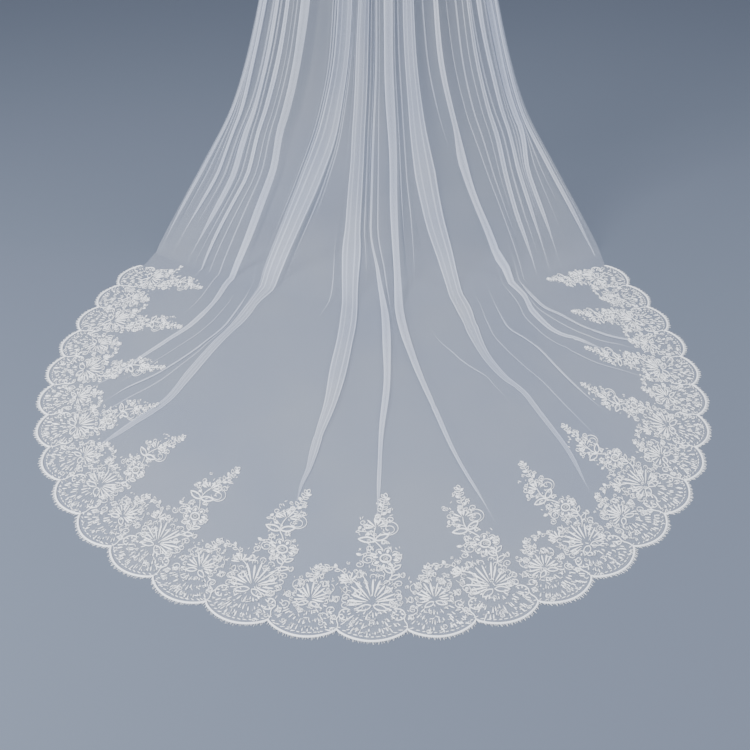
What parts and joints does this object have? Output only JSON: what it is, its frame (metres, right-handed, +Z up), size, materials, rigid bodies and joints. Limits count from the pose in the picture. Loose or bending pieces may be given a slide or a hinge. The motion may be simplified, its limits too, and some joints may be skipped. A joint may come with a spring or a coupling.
{
  "type": "bridal veil",
  "caption": "Cathedral-length bridal veil of tulle gathered on a hair comb, with a rounded train and a scalloped floral lace edging.",
  "frame": {"origin": "middle of the comb's spine, where the comb sits in the wearer's hair", "axes": "+Z up, the wearer faces +Y, the train lies towards -Y on the floor 1.6 m below the comb"},
  "size_m": [1.5159, 1.6532, 1.6244],
  "materials": {
    "tulle": "sheer nylon net with a soft sheen",
    "lace": "corded embroidery with sequins",
    "comb_plastic": "clear moulded plastic"
  },
  "bodies": {
    "root": {"tulle_fall": "tulle", "tulle_train": "tulle", "lace_edging": "lace", "comb": "comb_plastic"}
  },
  "joints": []
}
